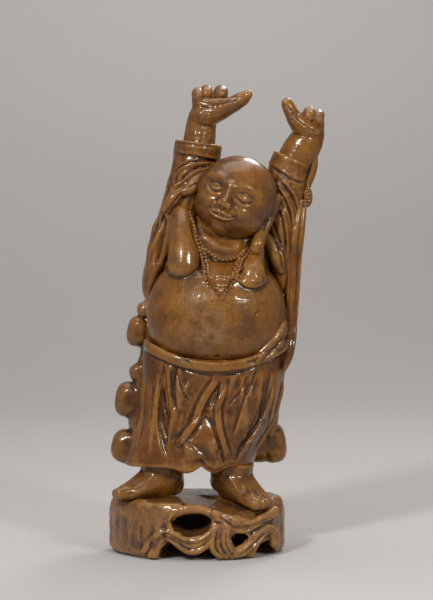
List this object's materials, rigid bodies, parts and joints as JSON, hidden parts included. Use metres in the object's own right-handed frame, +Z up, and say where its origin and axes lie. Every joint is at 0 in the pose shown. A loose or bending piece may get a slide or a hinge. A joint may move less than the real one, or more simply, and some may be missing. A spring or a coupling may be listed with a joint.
{
  "type": "carved wooden standing figure",
  "caption": "Lacquered wooden statue of a stout robed figure with raised arms and a fly whisk, standing on a pierced root plinth, joined from carved blocks with tenons and pegs.",
  "frame": {"origin": "centre of the plinth's flat underside", "axes": "+Z up; the figure faces -Y, and +X is the figure's left"},
  "size_m": [0.1862, 0.1076, 0.3984],
  "materials": {
    "carved_wood": "gloss lacquer",
    "peg_wood": "bare"
  },
  "bodies": {
    "root": {"plinth": "carved_wood", "right_foot": "carved_wood", "left_foot": "carved_wood", "lower_robe": "carved_wood", "torso": "carved_wood", "back_robe": "carved_wood", "head": "carved_wood", "right_sleeve": "carved_wood", "left_sleeve": "carved_wood", "right_hand": "carved_wood", "left_hand": "carved_wood", "fly_whisk": "carved_wood", "waist_peg_1": "peg_wood", "waist_peg_2": "peg_wood", "back_peg_1": "peg_wood", "back_peg_2": "peg_wood", "lower_back_peg_1": "peg_wood", "lower_back_peg_2": "peg_wood", "shoulder_peg_1": "peg_wood", "shoulder_peg_2": "peg_wood"}
  },
  "joints": []
}
